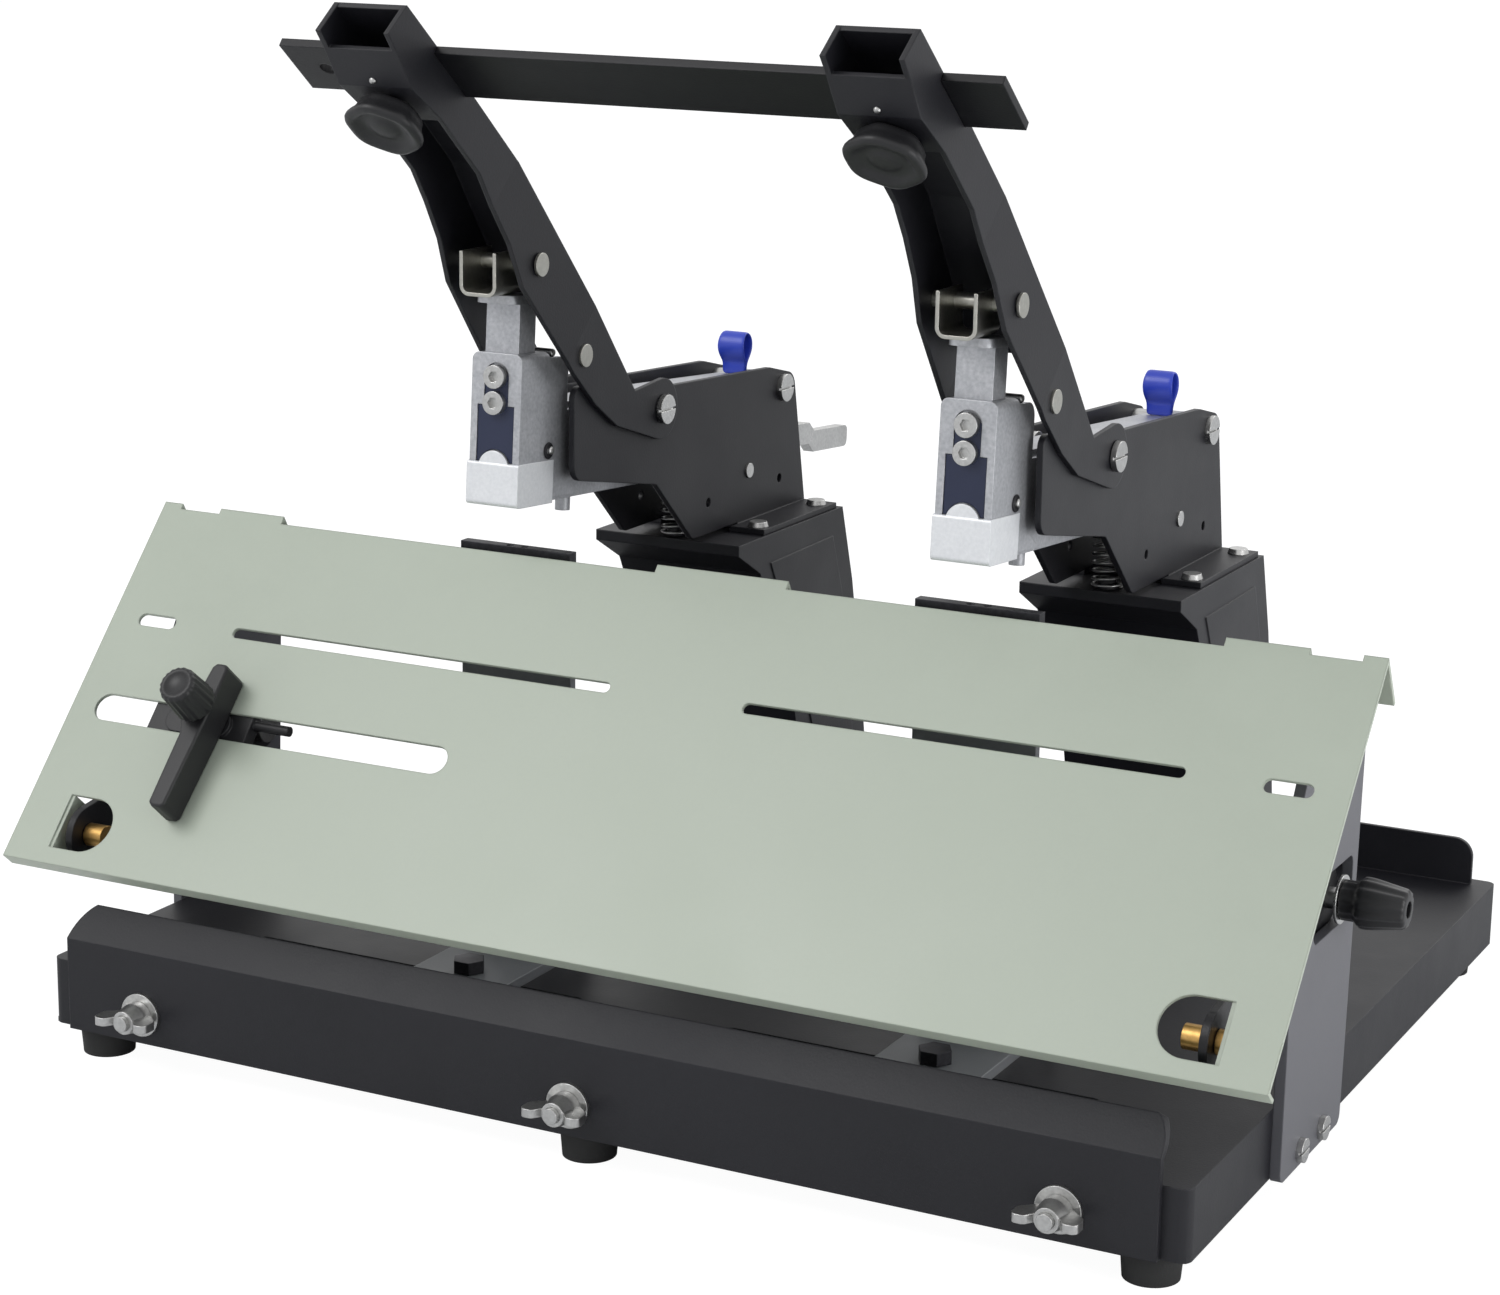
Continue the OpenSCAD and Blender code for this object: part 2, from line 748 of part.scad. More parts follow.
stand_outline = [
    [124.8, seat_z], [124.8, seat_z - lip_drop], [144.8, -35], [178.8, -100],
    [194.8, -ridge_h], [256.8, -ridge_h], [248, -108], [235.5, -54.6], [224, seat_z]
];

module stand() {
    color([0.13, 0.13, 0.14]) {
        // Side faces with a pressed panel
        both() {
            side(stand_half - sheet, stand_half)
                soft_polygon(stand_outline, [0, 0, 0, 0, 0, 0, 5, 5, 0]);
            side(stand_half - 0.5, stand_half + 0.5)
                polygon([[154, -32], [191, -100], [208, -141], [241, -141], [235, -108], [224, -57], [214, -31]]);
        }
        difference() {
            side(-stand_half + sheet, stand_half - sheet) {
                bent_sheet([stand_outline[8], for (i = [0 : 4]) stand_outline[i]], sheet);
                translate(stand_outline[4])
                    polygon([[1.2, 0], [62, 0], [61.6, sheet], [0.2, sheet]]);
            }
            both() for (y = foot_screw_ys)
                translate([foot_screw_x, y, seat_z - sheet - 1]) cylinder(d = 5, h = sheet + 2);
            for (y = rear_slot_ys)
                translate([13, y - ridge_y, -ridge_h - 1]) cylinder(d = slot_w - 2 * slide_gap, h = sheet + 2);
        }
        translate([0, spring_y, seat_z - 1]) cylinder(d1 = spring_od - 4, d2 = spring_od - 6, h = 5);
    }
}

frame_outline = [
    [frame_y0, 24.5], [83.9, 12.1], [115.2, -16.5], [floor_y1, -16.5], [207.5, 41.5],
    [184.5, 46.8], [70.5, 52.6], [frame_y0, 62]
];

// Side plates of the head on a floor with outward foot flanges
module frame() {
    color([0.14, 0.14, 0.15])
        difference() {
            union() {
                both() side(frame_half - frame_t, frame_half)
                    soft_polygon(frame_outline, [7, 5, 4, 0, 8, 0, 0, 5]);
                translate([-frame_half, floor_y0, seat_z])
                    cube([2 * frame_half, floor_y1 - floor_y0, frame_t + 1]);
                both() translate([frame_half - 1, floor_y0 - 6, seat_z])
                    cube([stand_half - frame_half, floor_y1 - floor_y0 + 6, frame_t]);
            }
            both() {
                rod_x(arm_pivot, pivot_d, 0, frame_half + 1);
                for (h = [[floor_pin[0], floor_pin[1], 6.4], [194.5, -3.4, 4], [129, -3.3, 4]])
                    rod_x([h[0], h[1]], h[2], 10, frame_half + 1);
            }
            rod_x(nose_pivot, pivot_d, -frame_half - 1, frame_half + 1);
            both() for (y = foot_screw_ys)
                translate([foot_screw_x, y, seat_z - 1]) cylinder(d = 5, h = 10);
        }
}

module fasteners() {
    color("silver") {
        both() {
            rod_x(arm_pivot, pivot_d, frame_half - frame_t - 3, arm_half + 1);
            rod_x(arm_pivot, 13, frame_half - frame_t - 3, frame_half - frame_t);
            screw_x(arm_pivot, arm_half + 0.4, 12, 1);
            screw_x(nose_pivot, frame_half, 12, 1);
            rod_x(floor_pin, 6.4, frame_half - frame_t - 1, frame_half + 0.8);
            rod_x(nose_pivot, 12, magazine_half + 0.3, frame_half - frame_t);
            for (y = foot_screw_ys)
                translate([foot_screw_x, y, 0]) {
                    translate([0, 0, seat_z - sheet - 3]) cylinder(d = 8, h = 3, $fn = 6);
                    translate([0, 0, seat_z - sheet]) cylinder(d = 5, h = sheet + frame_t + 1);
                    translate([0, 0, seat_z + frame_t]) cylinder(d1 = 9, d2 = 7.5, h = 2.2);
                }
        }
        rod_x(nose_pivot, pivot_d, -frame_half - 1, frame_half + 1);
    }
}

// Return spring: one round wire from the stand up to the magazine
function spring_top() =
    nose_pivot[1] + (spring_y - nose_pivot[0]) * tan(-nose_lift)
    - (nose_pivot[1] - magazine_z0) / cos(nose_lift);
spring_h = spring_top() - seat_z;
spring_r = (spring_od - spring_wire) / 2;
coil_h = spring_h - 2 * spring_wire;
coil_rings = 8 * spring_curls;
function coil_point(i) =
    i < 0 ? [spring_r, 0, spring_wire + i * spring_wire] :
    i > coil_rings ? [spring_r, 0, spring_wire + coil_h + (i - coil_rings) * spring_wire] :
    [
        spring_r * cos(i * 45), spring_r * sin(i * 45),
        spring_wire + coil_h * i / coil_rings
    ];
function coil_ring(i) =
    let(
        along = coil_point(i + (i > coil_rings ? 0 : 1)) - coil_point(i - (i < 0 ? 0 : 1)),
        t = i < 0 || i > coil_rings ? [0, 0, 1] : unit(along),
        n = [cos(i * 45), sin(i * 45), 0],
        out = i < 0 || i > coil_rings ? [1, 0, 0] : unit(n - (n * t) * t),
        b = cross(t, out)
    )
        [for (k = [0 : 5]) coil_point(i) + spring_wire / 2 * (cos(k * 60) * out + sin(k * 60) * b)];
coil_gap = coil_h / spring_curls - spring_wire;
echo(spring_least_gap = coil_gap);

module spring() {
    rings = [for (i = [-1 : coil_rings + 1]) coil_ring(i)];
    n = len(rings);
    color("lightgray")
        translate([0, spring_y, seat_z])
            polyhedron(
                points = [for (r = rings) for (p = r) p],
                faces = concat(
                    [for (k = [1 : 4]) [0, k, k + 1]],
                    [for (k = [1 : 4]) [6 * (n - 1), 6 * (n - 1) + k + 1, 6 * (n - 1) + k]],
                    [for (i = [0 : n - 2], k = [0 : 5]) [6 * i + k, 6 * (i + 1) + k, 6 * (i + 1) + (k + 1) % 6]],
                    [for (i = [0 : n - 2], k = [0 : 5]) [6 * i + k, 6 * (i + 1) + (k + 1) % 6, 6 * i + (k + 1) % 6]]
                )
            );
}

// Arm: a folded channel, open to the front, tapering towards the cross bar

module arm_side_view() {
    polygon(concat(arm_front, [
        arm_pivot - [2.5, arm_boss_r - 0.25], arm_pivot + [0, arm_boss_r], arm_D, arm_C, arm_B, arm_A
    ]));
    translate(arm_pivot) circle(r = arm_boss_r);
}

// Places what is drawn as [x, distance from the pivot] along the arm
module along_arm() {
    translate([0, arm_pivot[0], arm_pivot[1]]) rotate([arm_tilt, 0, 0])
        front(-120, 120) children();
}

arm_edge = [
    [arm_half, -40], [arm_half, arm_taper_0], [arm_top_half, arm_taper_1], [arm_top_half, 260]
];

module arm_front_view() {
    polygon(concat(arm_edge, [for (i = [3 : -1 : 0]) [-arm_edge[i][0], arm_edge[i][1]]]));
}

module arm(notch_gap) {
    color([0.15, 0.15, 0.16])
        difference() {
            union() {
                intersection() {
                    side(-40, 40) arm_side_view();
                    along_arm() both() bent_sheet(arm_edge, arm_t);
                }
                intersection() {
                    side(-40, 40) {
                        bent_sheet([arm_web_end, arm_C, arm_B, arm_A], arm_t);
                        bent_sheet([for (i = [1 : 3]) arm_front[i]], arm_t);
                    }
                    along_arm() arm_front_view();
                }
            }
            rod_x(arm_pivot, pivot_d + 2 * pin_fit, -40, 40);
            rod_x(lift_rod, rod_d, -40, 40);
            rod_x(arm_rivet, rod_d, -40, 40);
            // Notch for the bar, open to the rear
            side(-40, 40) translate(arm_A) rotate(bar_a)
                translate([bar_drop - notch_gap, -bar_t - notch_gap])
                    square([bar_h + 2 * notch_gap, bar_t + notch_gap + 5]);
            translate([0, knob_foot[0], knob_foot[1]]) rotate([180 + bar_a, 0, 0])
                cylinder(d = 6 + 2 * pin_fit, h = 40);
        }
}

module arm_rods() {
    lift_d = norm(lift_rod - arm_pivot);
    taper = (lift_d - arm_taper_0) / (arm_taper_1 - arm_taper_0);
    rod_half = arm_half - taper * (arm_half - arm_top_half);
    color("silver") {
        rod_x(lift_rod, rod_d, -rod_half - 0.8, rod_half + 0.8);
        both() {
            rod_x(lift_rod, button_d, rod_half + 0.6, rod_half + 1.8);
            rod_x(arm_rivet, rod_d, arm_half - arm_t, arm_half + 0.5);
            rod_x(arm_rivet, button_d, arm_half, arm_half + 1);
        }
        // Folded stirrup that presses the driver, open to the front
        front(lift_rod[0] + stirrup_y0, lift_rod[0] + stirrup_y1)
            translate([0, lift_rod[1]])
                difference() {
                    stirrup_outline(0);
                    stirrup_outline(1.4);
                }
    }
}

module stirrup_outline(inset) {
    w = stirrup_half - inset;
    soft_polygon([
        [-w, inset - stirrup_r], [w, inset - stirrup_r], [w, 5 + inset], [-w, 5 + inset]
    ], [4 - inset, 4 - inset, 0, 0]);
}

// Dished knob that clamps the cross bar through the front wall of the arm
module bar_knob() {
    color([0.08, 0.08, 0.08])
        translate([0, knob_foot[0], knob_foot[1]]) rotate([180 + bar_a, 0, 0]) {
            translate([0, 0, bar_t / 2 + 0.1]) cylinder(d = 6, h = knob_near);
            difference() {
                union() {
                    translate([0, 0, knob_near]) cylinder(d = bar_knob_d - 5, h = knob_len - 5);
                    translate([0, 0, knob_near + knob_len - 5])
                        cylinder(d1 = bar_knob_d - 5, d2 = bar_knob_d, h = 3);
                    translate([0, 0, knob_near + knob_len - 2]) cylinder(d = bar_knob_d, h = 2);
                }
                translate([0, 0, knob_near + knob_len - 2.5])
                    cylinder(d1 = bar_knob_d - 10, d2 = bar_knob_d - 5, h = 3);
            }
            translate([0, 0, knob_near + knob_len - 4]) cylinder(d = 11, h = 3);
        }
}

// Nose and magazine, drawn closed and turned up about the rear pivot

module nose_block() {
    color([0.7, 0.71, 0.72])
        lifted()
            difference() {
                union() {
                    front(block_y0, magazine_y0)
                        soft_polygon([
                            [-block_half, shoe_z1], [block_half, shoe_z1],
                            [block_half, block_z1], [-block_half, block_z1]
                        ], [0, 0, 3, 3]);
                    both() side(magazine_half, block_half)
                        soft_polygon([
                            [shoe_y1, 5], [block_y1 + 12, 5], [block_y1, 12],
                            [block_y1, block_z1 - 2], [magazine_y0, block_z1 - 2],
                            [magazine_y0, shoe_z1], [shoe_y1, shoe_z1]
                        ], [0, 0, 5, 6, 0, 0, 0]);
                }
                // Driver pocket and blade slot
                translate([-driver_half - slide_gap, driver_y0 - slide_gap, 28])
                    cube([2 * (driver_half + slide_gap), driver_y1 - driver_y0 + 2 * slide_gap, 50]);
                translate([-6.5, driver_y1 - 2.2, 0]) cube([13, 2.2, 60]);
                // Front recess for the cover plate, with a narrower neck round the screws
                translate([-8.2, block_y0 - 1, shoe_z1 - 1]) cube([16.4, 2.6, 23]);
                translate([-5.4, block_y0 - 1, shoe_z1 - 1])
                    cube([10.8, 2.6, nose_screw_zs[1] - shoe_z1 + 1]);
                translate([0, block_y0 + 1.6, nose_screw_zs[1]]) rotate([90, 0, 0])
                    cylinder(d = 10.8, h = 2.6);
                for (z = nose_screw_zs) translate([0, driver_y0, z]) rotate([90, 0, 0])
                    cylinder(d = 4, h = 5);
            }
}

module nose_plate() {
    color([0.16, 0.18, 0.28])
        lifted()
            front(block_y0 + 0.4, block_y0 + 1.6)
                difference() {
                    polygon([
                        [-8, shoe_z1 + 0.2], [8, shoe_z1 + 0.2], [8, shoe_z1 + 21.8], [5.2, shoe_z1 + 21.8],
                        [5.2, shoe_z1 + 34], [-5.2, shoe_z1 + 34], [-5.2, shoe_z1 + 21.8], [-8, shoe_z1 + 21.8]
                    ]);
                    translate([0, shoe_z1 - 2]) circle(r = 7);
                    for (z = nose_screw_zs) translate([0, z]) circle(d = 4);
                }
}

// Two socket screws that hold the plate
module nose_screws() {
    color([0.85, 0.86, 0.87])
        lifted()
            for (z = nose_screw_zs)
                difference() {
                    translate([0, block_y0 + 0.4, z]) rotate([90, 0, 0]) {
                        translate([0, 0, block_y0 + 0.5 - driver_y0 + slide_gap])
                            cylinder(d = 4, h = driver_y0 - slide_gap - block_y0);
                        cylinder(d = 9, h = 3);
                    }
                    translate([0, block_y0 - 0.6, z]) rotate([90, 0, 0]) cylinder(d = 4.6, h = 4, $fn = 6);
                }
}

module nose_shoe() {
    color([0.8, 0.81, 0.82])
        lifted()
            difference() {
                union() {
                    side(-block_half - 0.5, block_half + 0.5)
                        soft_polygon([
                            [shoe_y0, shoe_z0], [shoe_y1, shoe_z0], [shoe_y1, shoe_z1], [shoe_y0, shoe_z1]
                        ], [2, 0, 0, 1]);
                    front(block_y0 - 0.6, block_y0 + 0.3)
                        translate([0, shoe_z1 - 2]) circle(r = 6.6);
                }
                translate([-6.5, driver_y1 - 2.2, 0]) cube([13, 2.2, 60]);
                // Let the front end of the magazine in
                translate([-magazine_half, magazine_y0, 0]) cube([2 * magazine_half, 20, 30]);
            }
}

module magazine() {
    color([0.62, 0.63, 0.64])
        lifted()
            difference() {
                union() {
                    difference() {
                        translate([-magazine_half, magazine_y0, magazine_z0])
                            cube([2 * magazine_half, magazine_y1 - magazine_y0, magazine_z1 - 3 - magazine_z0]);
                        translate([-magazine_half + wall, magazine_y0 - 1, magazine_z0 + wall])
                            cube([2 * (magazine_half - wall), magazine_y1 - magazine_y0 + 2,
                                magazine_z1 - 3 - 2 * wall - magazine_z0]);
                    }
                    translate([-magazine_half + 1, magazine_y0 + 14, magazine_z1 - 3.5])
                        cube([2 * magazine_half - 2, magazine_y1 - magazine_y0 - 14, 3.5]);
                    rod_x(nose_pivot, 13, -magazine_half, magazine_half);
                    // Stub pin under the front of the channel
                    translate([0, magazine_y0 + 32, magazine_z0 - 7]) cylinder(d = 6, h = 8);
                }
                rod_x(nose_pivot, pivot_d + 2 * pin_fit, -20, 20);
            }
}

module pull_tab() {
    color([0.1, 0.2, 0.6])
        lifted()
            intersection() {
                front(tab_y - 5, tab_y + 5)
                    translate([0, magazine_z1])
                        soft_polygon([
                            [-6, 0], [6, 0], [6, 4], [7.2, 9], [7.2, 14], [6.6, 19],
                            [-6.6, 19], [-7.2, 14], [-7.2, 9], [-6, 4]
                        ], [0, 0, 3, 3, 3, 1.5, 1.5, 3, 3, 3]);
                // Hollow front face and a round back
                side(-10, 10)
                    translate([tab_y, magazine_z1])
                        soft_polygon([
                            [-2, 0], [2, 0], [3.2, 8], [2.2, 14], [-0.2, 19], [-3, 19], [-1, 12], [-1, 6]
                        ], [0, 0, 6, 6, 1, 1, 6, 4]);
            }
}

module driver() {
    color([0.75, 0.76, 0.77])
        lifted() {
            translate([-driver_half, driver_y0, 28 + driver_stroke + 1])
                cube([2 * driver_half, driver_y1 - driver_y0, cap_z - 3 - 28 - driver_stroke - 1]);
            translate([0, (cap_y0 + driver_y1) / 2, cap_z - 3.4])
                linear_extrude(height = 3.4)
                    round_rect(2 * driver_half + 3, driver_y1 - cap_y0, 5);
            translate([-6, driver_y1 - 1.7, blade_z0]) cube([12, 1.2, 52 - blade_z0]);
        }
}

// Flat rail that feeds the staples, pulled out to the rear to load
module pusher(end) {
    color("silver")
        lifted() {
            side(-2.5, 2.5)
                translate([0, pusher_z])
                    soft_polygon([
                        [60, 0], [end - 40, 0], [end - 35, -rail_step], [end, -rail_step],
                        [end, pusher_h - rail_step], [end - 35, pusher_h - rail_step],
                        [end - 40, pusher_h], [60, pusher_h]
                    ], [0, 0, 0, 3, 3, 0, 0, 0]);
            translate([-6, 60, pusher_z]) cube([12, 14, 12]);
        }
}

module cross_bar() {
    color([0.12, 0.12, 0.13])
        head(0)
            difference() {
                side(bar_x0, bar_x0 + bar_len)
                    translate(bar_mid) rotate(bar_a) square([bar_h, bar_t], center = true);
                translate([bar_x0 + 14, bar_mid[0], bar_mid[1]]) rotate([180 + bar_a, 0, 0])
                    cylinder(d = 6, h = 20, center = true);
            }
}

module left_carriage() { head(left_x) carriage(); }
module left_anvil_post() { head(left_x) anvil_post(); }
module left_clincher() { head(left_x) clincher(); }
module left_stand() { head(left_x) stand(); }
module left_frame() { head(left_x) frame(); }
module left_fasteners() { head(left_x) fasteners(); }
module left_spring() { head(left_x) spring(); }
module left_arm() { head(left_x) arm(0); }
module left_arm_rods() { head(left_x) arm_rods(); }
module left_bar_knob() { head(left_x) bar_knob(); }
module left_nose_block() { head(left_x) nose_block(); }
module left_nose_shoe() { head(left_x) nose_shoe(); }
module left_nose_plate() { head(left_x) nose_plate(); }
module left_nose_screws() { head(left_x) nose_screws(); }
module left_magazine() { head(left_x) magazine(); }
module left_pull_tab() { head(left_x) pull_tab(); }
module left_driver() { head(left_x) driver(); }
module left_pusher() { head(left_x) pusher(pusher_rest[0]); }
module right_carriage() { head(right_x) carriage(); }
module right_anvil_post() { head(right_x) anvil_post(); }
module right_clincher() { head(right_x) clincher(); }
module right_stand() { head(right_x) stand(); }
module right_frame() { head(right_x) frame(); }
module right_fasteners() { head(right_x) fasteners(); }
module right_spring() { head(right_x) spring(); }
module right_arm() { head(right_x) arm(slide_gap); }
module right_arm_rods() { head(right_x) arm_rods(); }
module right_bar_knob() { head(right_x) bar_knob(); }
module right_nose_block() { head(right_x) nose_block(); }
module right_nose_shoe() { head(right_x) nose_shoe(); }
module right_nose_plate() { head(right_x) nose_plate(); }
module right_nose_screws() { head(right_x) nose_screws(); }
module right_magazine() { head(right_x) magazine(); }
module right_pull_tab() { head(right_x) pull_tab(); }
module right_driver() { head(right_x) driver(); }
module right_pusher() { head(right_x) pusher(pusher_rest[1]); }

placed() base_tray();
placed() front_fence();
placed() fence_studs();
placed() front_feet();
placed() rear_feet();
placed() left_bracket();
placed() right_bracket();
placed() bracket_screws();
placed() table_hinge_pins();
placed() table_plate();
placed() table_ear_pins();
placed() left_strut();
placed() right_strut();
placed() clamp_bolts();
placed() left_table_knob();
placed() right_table_knob();
placed() guide_bar();
placed() guide_block();
placed() guide_knob();
placed() wing_nut(-stud_x);  // wing_nut_left
placed() wing_nut(0);  // wing_nut_middle
placed() wing_nut(stud_x);  // wing_nut_right
placed() left_carriage();
placed() left_anvil_post();
placed() left_clincher();
placed() left_stand();
placed() left_frame();
placed() left_fasteners();
placed() left_spring();
placed() left_arm();
placed() left_arm_rods();
placed() left_bar_knob();
placed() left_nose_block();
placed() left_nose_shoe();
placed() left_nose_plate();
placed() left_nose_screws();
placed() left_magazine();
placed() left_pull_tab();
placed() left_driver();
placed() left_pusher();
placed() right_carriage();
placed() right_anvil_post();
placed() right_clincher();
placed() right_stand();
placed() right_frame();
placed() right_fasteners();
placed() right_spring();
placed() right_arm();
placed() right_arm_rods();
placed() right_bar_knob();
placed() right_nose_block();
placed() right_nose_shoe();
placed() right_nose_plate();
placed() right_nose_screws();
placed() right_magazine();
placed() right_pull_tab();
placed() right_driver();
placed() right_pusher();
placed() cross_bar();
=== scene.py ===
import bmesh
import bpy
import math
from mathutils import Matrix, Vector


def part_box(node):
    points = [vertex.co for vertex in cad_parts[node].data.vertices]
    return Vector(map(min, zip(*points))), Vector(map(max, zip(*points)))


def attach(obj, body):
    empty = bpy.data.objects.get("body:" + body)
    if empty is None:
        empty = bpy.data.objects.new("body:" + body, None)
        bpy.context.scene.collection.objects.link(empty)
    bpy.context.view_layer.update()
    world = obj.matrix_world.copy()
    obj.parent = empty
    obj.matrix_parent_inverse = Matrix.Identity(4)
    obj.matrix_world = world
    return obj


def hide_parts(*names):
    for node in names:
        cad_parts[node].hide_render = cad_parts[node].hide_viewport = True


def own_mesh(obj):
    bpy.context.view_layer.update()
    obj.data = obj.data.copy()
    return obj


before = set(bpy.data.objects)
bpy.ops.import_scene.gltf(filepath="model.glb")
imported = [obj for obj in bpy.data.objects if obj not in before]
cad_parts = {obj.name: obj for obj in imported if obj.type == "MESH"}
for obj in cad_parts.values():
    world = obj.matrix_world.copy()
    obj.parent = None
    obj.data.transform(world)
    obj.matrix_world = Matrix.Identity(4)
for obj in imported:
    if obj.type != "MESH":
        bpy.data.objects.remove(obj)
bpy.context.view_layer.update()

# Viewpoint. The machine is seen from the front right and a little from above, a metre away,
# with the camera turned slightly about its own axis, as the photograph was taken.
turn, drop, roll = (math.radians(angle) for angle in (26.40, 13.44, 1.034))
look = Vector((-math.sin(turn) * math.cos(drop), math.cos(turn) * math.cos(drop), -math.sin(drop)))
level = Vector((math.cos(turn), math.sin(turn), 0))
upright = level.cross(look)
right = level * math.cos(roll) + upright * math.sin(roll)
top = upright * math.cos(roll) - level * math.sin(roll)
eye = (0.56669, -1.15522, 0.46943)
camera = bpy.data.objects.new("camera", bpy.data.cameras.new("camera"))
bpy.context.collection.objects.link(camera)
camera.matrix_world = Matrix.Translation(eye) @ Matrix((right, top, -look)).transposed().to_4x4()
camera.data.sensor_width = 36
camera.data.lens = 79.14
camera.data.shift_x = -0.0356
camera.data.shift_y = -0.0173
camera.data.clip_end = 50
bpy.context.scene.camera = camera
bpy.context.scene.view_settings.view_transform = "Standard"

# Bench and room. A plain white bench top runs back without an edge, under broad soft lamps,
# and the room behind is white to the eye and to the reflections in the metal.


def maths(tree, operation, first, second):
    node = tree.nodes.new("ShaderNodeMath")
    node.operation = operation
    for value, socket in zip((first, second), node.inputs):
        if isinstance(value, (int, float)):
            socket.default_value = value
        else:
            tree.links.new(value, socket)
    return node.outputs[0]


def mix_shaders(tree, share, first, second, surface):
    mix = tree.nodes.new("ShaderNodeMixShader")
    for value, socket in zip((share, first, second), mix.inputs):
        tree.links.new(value, socket)
    tree.links.new(mix.outputs[0], surface)


def soft_lamp(name, place, aim, size, power):
    lamp = bpy.data.lights.new(name, "AREA")
    lamp.shape = "DISK"
    lamp.size = size
    lamp.energy = power
    lamp = bpy.data.objects.new(name, lamp)
    bpy.context.collection.objects.link(lamp)
    lamp.location = place
    lamp.rotation_euler = (Vector(aim) - Vector(place)).to_track_quat("-Z", "Y").to_euler()


reach = 12
corners = [(-reach, -reach, 0), (reach, -reach, 0), (reach, reach, 0), (-reach, reach, 0)]
bench = bpy.data.meshes.new("bench")
bench.from_pydata(corners, [], [(0, 1, 2, 3)])
bench = bpy.data.objects.new("bench", bench)
bpy.context.collection.objects.link(bench)
bench_paint = bpy.data.materials.new("bench_paint")
bench_paint.use_nodes = True
tree = bench_paint.node_tree
matt = tree.nodes["Principled BSDF"]
matt.inputs["Base Color"].default_value = (0.9, 0.9, 0.9, 1)
matt.inputs["Roughness"].default_value = 0.8
matt.inputs["Specular IOR Level"].default_value = 0.1
glow = tree.nodes.new("ShaderNodeEmission")
glow.inputs["Color"].default_value = (1, 1, 1, 1)
glow.inputs["Strength"].default_value = 1.2
seen = tree.nodes.new("ShaderNodeLightPath")
glow_share = maths(tree, "MULTIPLY", seen.outputs["Is Camera Ray"], 0.8)
surface = tree.nodes["Material Output"].inputs["Surface"]
mix_shaders(tree, glow_share, matt.outputs[0], glow.outputs[0], surface)
bench.data.materials.append(bench_paint)

room = bpy.data.worlds.new("room")
bpy.context.scene.world = room
room.use_nodes = True
tree = room.node_tree
dim = tree.nodes["Background"]
dim.inputs["Color"].default_value = (0.93, 0.96, 1, 1)
dim.inputs["Strength"].default_value = 0.55
white = tree.nodes.new("ShaderNodeBackground")
white.inputs["Color"].default_value = (1, 1, 1, 1)
seen = tree.nodes.new("ShaderNodeLightPath")
either = maths(tree, "MAXIMUM", seen.outputs["Is Camera Ray"], seen.outputs["Is Glossy Ray"])
mix_shaders(tree, either, dim.outputs[0], white.outputs[0], tree.nodes["World Output"].inputs["Surface"])

soft_lamp("key_lamp", (-0.95, -1.35, 1.65), (-0.05, -0.1, 0.12), 1.2, 19)
soft_lamp("side_lamp", (0.95, -0.2, 0.2), (0.15, 0, 0.15), 0.5, 2.9)
soft_lamp("back_lamp", (0.6, 2.2, 2.0), (0, 0, 0.2), 1.4, 18)

# Base tray. One sheet of steel with its skirt folded down and a lip folded up at the back, slotted
# for the heads and coated in charcoal powder paint, finely textured, rubbed and painted lighter at the folds
# as a highlight.


def shader_group(name, inputs, outputs):
    group = bpy.data.node_groups.new(name, "ShaderNodeTree")
    for label, value in inputs.items():
        socket = group.interface.new_socket(name=label, in_out="INPUT", socket_type="NodeSocketFloat")
        socket.default_value = value
    for label, kind in outputs.items():
        group.interface.new_socket(name=label, in_out="OUTPUT", socket_type="NodeSocket" + kind)
    return group, group.nodes.new("NodeGroupInput").outputs, group.nodes.new("NodeGroupOutput").inputs


def noise(tree, scale, detail, roughness=0.5):
    where = tree.nodes.new("ShaderNodeTexCoord")
    texture = tree.nodes.new("ShaderNodeTexNoise")
    texture.inputs["Detail"].default_value = detail
    texture.inputs["Roughness"].default_value = roughness
    tree.links.new(where.outputs["Object"], texture.inputs["Vector"])
    if isinstance(scale, (int, float)):
        texture.inputs["Scale"].default_value = scale
    else:
        tree.links.new(scale, texture.inputs["Scale"])
    return texture.outputs["Fac"]


def range_of(tree, value, given, wanted=(0, 1)):
    span = tree.nodes.new("ShaderNodeMapRange")
    for label, end in zip(("From Min", "From Max", "To Min", "To Max"), (*given, *wanted)):
        span.inputs[label].default_value = end
    tree.links.new(value, span.inputs["Value"])
    return span.outputs[0]


# Grain: the fine pebbled skin that baked powder paint and moulded plastic have
grain_group, given, made = shader_group(
    "grain", {"Size": 1.0, "Contrast": 0.5}, {"Height": "Float", "Speckle": "Float"})
tree = grain_group
pebble = noise(tree, maths(tree, "DIVIDE", 1100, given["Size"]), 3)
speckle = maths(tree, "MULTIPLY", range_of(tree, pebble, (0.35, 0.65)), given["Contrast"])
tree.links.new(pebble, made["Height"])
tree.links.new(speckle, made["Speckle"])

# Handling: broad uneven patches where hands, paper dust and oil have changed the sheen
handling_group, given, made = shader_group("handling", {"Patch": 1.0}, {"Amount": "Float"})
tree = handling_group
cloud = noise(tree, maths(tree, "DIVIDE", 14, given["Patch"]), 6, roughness=0.6)
tree.links.new(range_of(tree, cloud, (0.3, 0.7)), made["Amount"])
